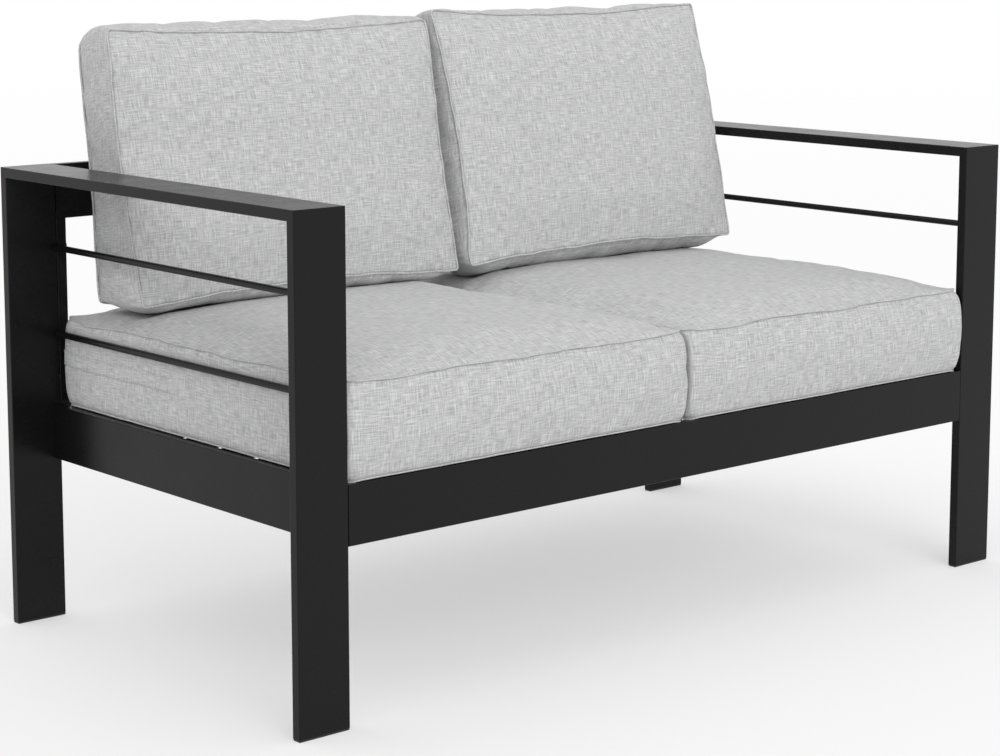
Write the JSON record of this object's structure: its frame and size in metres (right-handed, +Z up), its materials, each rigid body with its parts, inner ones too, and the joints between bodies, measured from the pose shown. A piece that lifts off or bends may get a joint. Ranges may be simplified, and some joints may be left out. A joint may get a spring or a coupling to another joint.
{
  "type": "patio loveseat",
  "caption": "Outdoor loveseat with a black flat-tube aluminium frame, rods under the armrests, and loose light grey box cushions for seat and back",
  "frame": {"origin": "on the ground, below the middle of the frame", "axes": "+X to the right as seen from the front, +Y from front to rear, +Z up"},
  "size_m": [1.29, 0.668, 0.8171],
  "materials": {
    "frame_metal": "satin black powder coat",
    "cover_fabric": "light grey heathered plain weave",
    "foam": "open-cell foam in a thin wrap",
    "zip_tape": "woven tape with a coil chain",
    "zip_metal": "plain plated metal",
    "black_plastic": "moulded, matt",
    "fastener_steel": "zinc plated"
  },
  "bodies": {
    "frame": {"back_bolts": "fastener_steel", "back_rivet_nuts": "fastener_steel", "back_washers": "fastener_steel", "bolt_hole_caps": "black_plastic", "centre_back_upright": "frame_metal", "front_apron": "frame_metal", "left_armrest": "frame_metal", "left_back_post": "frame_metal", "left_back_upright": "frame_metal", "left_front_foot_plug": "black_plastic", "left_front_leg": "frame_metal", "left_lower_rod": "frame_metal", "left_rear_foot_plug": "black_plastic", "left_rear_leg": "frame_metal", "left_seat_side_rail": "frame_metal", "left_side_apron": "frame_metal", "left_upper_rod": "frame_metal", "rear_apron": "frame_metal", "right_armrest": "frame_metal", "right_back_post": "frame_metal", "right_back_upright": "frame_metal", "right_front_foot_plug": "black_plastic", "right_front_leg": "frame_metal", "right_lower_rod": "frame_metal", "right_rear_foot_plug": "black_plastic", "right_rear_leg": "frame_metal", "right_seat_side_rail": "frame_metal", "right_side_apron": "frame_metal", "right_upper_rod": "frame_metal", "seat_bolts": "fastener_steel", "seat_centre_beam": "frame_metal", "seat_rivet_nuts": "fastener_steel", "seat_slats": "frame_metal", "seat_washers": "fastener_steel", "top_rail": "frame_metal"},
    "left_seat_cushion": {"left_seat_cushion_cover": "cover_fabric", "left_seat_cushion_foam": "foam", "left_seat_cushion_zip": "zip_tape"},
    "left_seat_cushion_zip_slider": {"left_seat_cushion_zip_slider": "zip_metal"},
    "right_seat_cushion": {"right_seat_cushion_cover": "cover_fabric", "right_seat_cushion_foam": "foam", "right_seat_cushion_zip": "zip_tape"},
    "right_seat_cushion_zip_slider": {"right_seat_cushion_zip_slider": "zip_metal"},
    "left_back_cushion": {"left_back_cushion_cover": "cover_fabric", "left_back_cushion_foam": "foam", "left_back_cushion_zip": "zip_tape"},
    "left_back_cushion_zip_slider": {"left_back_cushion_zip_slider": "zip_metal"},
    "right_back_cushion": {"right_back_cushion_cover": "cover_fabric", "right_back_cushion_foam": "foam", "right_back_cushion_zip": "zip_tape"},
    "right_back_cushion_zip_slider": {"right_back_cushion_zip_slider": "zip_metal"}
  },
  "joints": [
    {"name": "left_seat_cushion_lift", "type": "slide", "parent": "frame", "child": "left_seat_cushion", "axis": [0, 0, 1], "range_m": [0, 0.4]},
    {"name": "left_seat_cushion_zip_open", "type": "slide", "parent": "left_seat_cushion", "child": "left_seat_cushion_zip_slider", "axis": [0, 1, 0], "range_m": [0, 0.2]},
    {"name": "right_seat_cushion_lift", "type": "slide", "parent": "frame", "child": "right_seat_cushion", "axis": [0, 0, 1], "range_m": [0, 0.4]},
    {"name": "right_seat_cushion_zip_open", "type": "slide", "parent": "right_seat_cushion", "child": "right_seat_cushion_zip_slider", "axis": [0, 1, 0], "range_m": [0, 0.2]},
    {"name": "left_back_cushion_lift", "type": "slide", "parent": "left_seat_cushion", "child": "left_back_cushion", "axis": [0, 0, 1], "range_m": [0, 0.3]},
    {"name": "left_back_cushion_zip_open", "type": "slide", "parent": "left_back_cushion", "child": "left_back_cushion_zip_slider", "axis": [-1, 0, 0], "range_m": [0, 0.39]},
    {"name": "right_back_cushion_lift", "type": "slide", "parent": "right_seat_cushion", "child": "right_back_cushion", "axis": [0, 0, 1], "range_m": [0, 0.3]},
    {"name": "right_back_cushion_zip_open", "type": "slide", "parent": "right_back_cushion", "child": "right_back_cushion_zip_slider", "axis": [-1, 0, 0], "range_m": [0, 0.39]}
  ]
}
